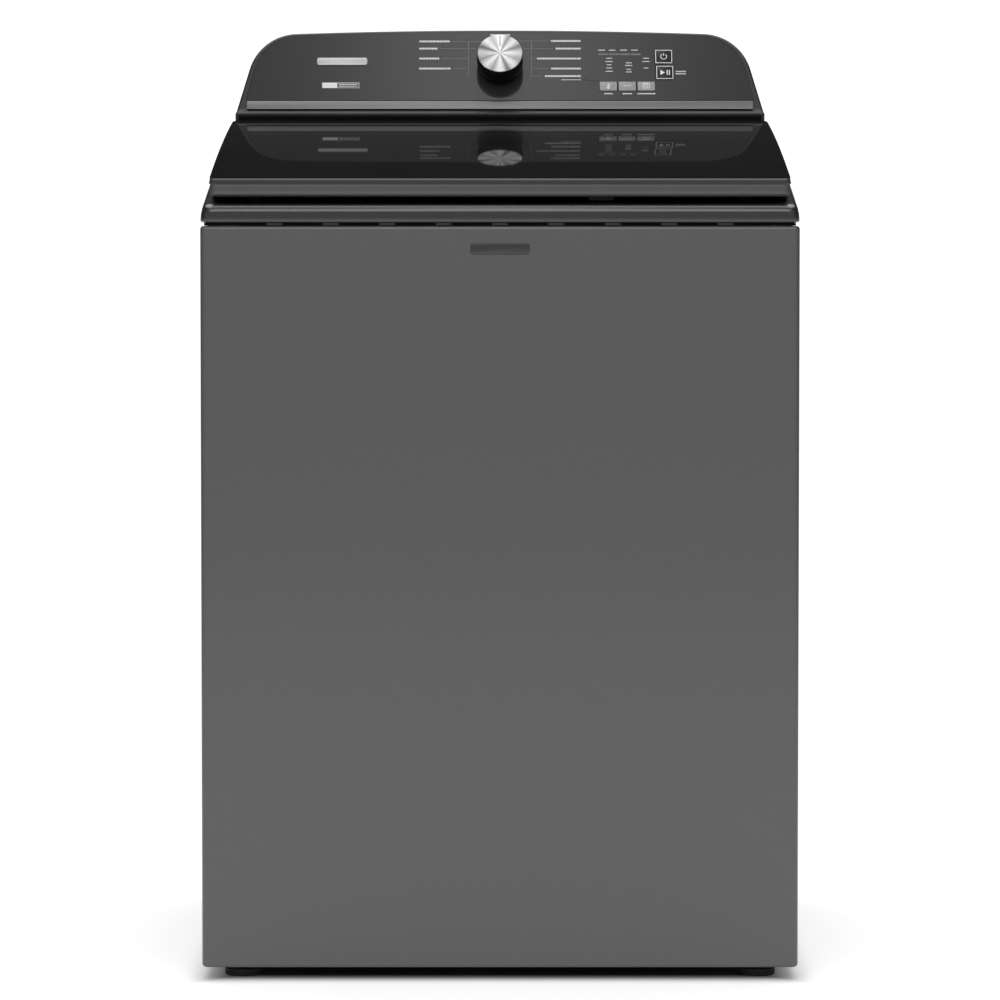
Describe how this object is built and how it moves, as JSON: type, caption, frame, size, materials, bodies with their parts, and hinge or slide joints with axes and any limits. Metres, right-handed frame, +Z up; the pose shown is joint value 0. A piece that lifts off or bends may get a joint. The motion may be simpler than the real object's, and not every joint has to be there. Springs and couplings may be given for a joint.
{
  "type": "top load washing machine",
  "caption": "Free-standing washer with a glass lid, a rear console with a dial and keys, and a suspended tub with a spinning basket and a lift-out agitator.",
  "frame": {"origin": "on the floor under the middle of the machine", "axes": "+Z up, the longest side; -Y towards the front, where the user stands; +X to the right seen from the front"},
  "size_m": [0.692, 0.705, 1.1274],
  "materials": {
    "cabinet_paint": "satin metallic grey",
    "deck_enamel": "gloss",
    "trim_metal": "satin",
    "console_film": "satin film",
    "black_plastic": "satin",
    "dark_glass": "gloss, dark tint",
    "knob_metal": "turned",
    "key_grey": "satin",
    "tub_plastic": "moulded",
    "basket_steel": "brushed",
    "agitator_plastic": "moulded",
    "bare_steel": "plain",
    "zinc_steel": "galvanised",
    "rubber": "matte",
    "winding": "enamelled windings",
    "board_green": "solder resist",
    "valve_white": "moulded"
  },
  "bodies": {
    "machine": {"cabinet_shell": "cabinet_paint", "top_panel": "deck_enamel", "console_trim": "trim_metal", "console_fascia": "console_film", "lid_lock": "black_plastic", "console_housing": "black_plastic", "drain_outlet": "black_plastic", "cord_gland": "black_plastic", "hinge_pin_left": "bare_steel", "hinge_pin_right": "bare_steel", "spring_front_left": "bare_steel", "spring_rear_left": "bare_steel", "spring_front_right": "bare_steel", "spring_rear_right": "bare_steel", "rear_panel": "zinc_steel", "base_frame": "zinc_steel", "suspension_rod_front_left": "zinc_steel", "suspension_rod_rear_left": "zinc_steel", "suspension_rod_front_right": "zinc_steel", "suspension_rod_rear_right": "zinc_steel", "control_board": "board_green", "inlet_valve": "valve_white", "inlet_duct": "valve_white", "dispenser_housing": "valve_white"},
    "lid": {"lid_frame": "black_plastic", "lid_glass": "dark_glass", "lid_trim": "trim_metal", "lid_strike": "bare_steel"},
    "knob": {"knob_body": "black_plastic", "knob_cap": "knob_metal"},
    "bolt": {"lock_bolt": "bare_steel"},
    "drawer": {"detergent_drawer": "agitator_plastic"},
    "tub": {"outer_tub": "tub_plastic", "tub_ring": "tub_plastic", "stator": "winding", "upper_bearing": "bare_steel", "lower_bearing": "bare_steel", "tub_seal": "rubber", "shift_actuator": "black_plastic", "drain_pump": "black_plastic", "drain_hose": "rubber"},
    "basket_unit": {"basket": "basket_steel", "balance_ring": "agitator_plastic", "basket_hub": "tub_plastic", "spin_tube": "bare_steel"},
    "clutch": {"clutch_slider": "bare_steel"},
    "drive": {"wash_plate": "agitator_plastic", "drive_shaft": "bare_steel", "rotor": "zinc_steel"},
    "agitator": {"agitator_post": "agitator_plastic", "agitator_cap": "agitator_plastic"},
    "key_temperature_body": {"key_temperature": "key_grey"},
    "key_rinse_body": {"key_rinse": "key_grey"},
    "key_deep_fill_body": {"key_deep_fill": "key_grey"},
    "key_power_body": {"key_power": "key_grey"},
    "key_start_body": {"key_start": "key_grey"},
    "foot_front_left_body": {"foot_front_left": "rubber"},
    "foot_rear_left_body": {"foot_rear_left": "rubber"},
    "foot_front_right_body": {"foot_front_right": "rubber"},
    "foot_rear_right_body": {"foot_rear_right": "rubber"}
  },
  "joints": [
    {"name": "lid_hinge", "type": "hinge", "parent": "machine", "child": "lid", "pos_m": [0, 0.1255, 0.994], "axis": [-1, 0, 0], "range_deg": [0, 103]},
    {"name": "knob_turn", "type": "hinge", "parent": "machine", "child": "knob", "pos_m": [0, 0.19894, 1.08036], "axis": [0, -0.848, 0.5299], "continuous": true},
    {"name": "key_temperature_press", "type": "slide", "parent": "machine", "child": "key_temperature_body", "axis": [0, 0.848, -0.5299], "range_m": [0, 0.0012], "stiffness_N_per_m": 600, "springref_m": -0.001},
    {"name": "key_rinse_press", "type": "slide", "parent": "machine", "child": "key_rinse_body", "axis": [0, 0.848, -0.5299], "range_m": [0, 0.0012], "stiffness_N_per_m": 600, "springref_m": -0.001},
    {"name": "key_deep_fill_press", "type": "slide", "parent": "machine", "child": "key_deep_fill_body", "axis": [0, 0.848, -0.5299], "range_m": [0, 0.0012], "stiffness_N_per_m": 600, "springref_m": -0.001},
    {"name": "key_power_press", "type": "slide", "parent": "machine", "child": "key_power_body", "axis": [0, 0.848, -0.5299], "range_m": [0, 0.0012], "stiffness_N_per_m": 600, "springref_m": -0.001},
    {"name": "key_start_press", "type": "slide", "parent": "machine", "child": "key_start_body", "axis": [0, 0.848, -0.5299], "range_m": [0, 0.0012], "stiffness_N_per_m": 600, "springref_m": -0.001},
    {"name": "bolt_slide", "type": "slide", "parent": "machine", "child": "bolt", "axis": [1, 0, 0], "range_m": [0, 0.012]},
    {"name": "drawer_slide", "type": "slide", "parent": "machine", "child": "drawer", "axis": [1, 0, 0], "range_m": [0, 0.085]},
    {"name": "tub_bounce", "type": "slide", "parent": "machine", "child": "tub", "axis": [0, 0, 1], "range_m": [-0.025, 0], "stiffness_N_per_m": 24000, "springref_m": 0.02, "deforming": ["spring_front_left", "spring_rear_left", "spring_front_right", "spring_rear_right"]},
    {"name": "basket_spin", "type": "hinge", "parent": "tub", "child": "basket_unit", "pos_m": [0, -0.0125, 0.185], "axis": [0, 0, 1], "continuous": true},
    {"name": "agitate", "type": "hinge", "parent": "basket_unit", "child": "drive", "pos_m": [0, -0.0125, 0.185], "axis": [0, 0, 1], "continuous": true},
    {"name": "clutch_shift", "type": "slide", "parent": "basket_unit", "child": "clutch", "axis": [0, 0, 1], "range_m": [0, 0.008]},
    {"name": "agitator_lift", "type": "slide", "parent": "drive", "child": "agitator", "axis": [0, 0, 1], "range_m": [0, 0.26]},
    {"name": "foot_front_left_turn", "type": "hinge", "parent": "machine", "child": "foot_front_left_body", "pos_m": [-0.3, -0.3025, 0], "axis": [0, 0, 1], "continuous": true},
    {"name": "foot_rear_left_turn", "type": "hinge", "parent": "machine", "child": "foot_rear_left_body", "pos_m": [-0.3, 0.2775, 0], "axis": [0, 0, 1], "continuous": true},
    {"name": "foot_front_right_turn", "type": "hinge", "parent": "machine", "child": "foot_front_right_body", "pos_m": [0.3, -0.3025, 0], "axis": [0, 0, 1], "continuous": true},
    {"name": "foot_rear_right_turn", "type": "hinge", "parent": "machine", "child": "foot_rear_right_body", "pos_m": [0.3, 0.2775, 0], "axis": [0, 0, 1], "continuous": true}
  ]
}
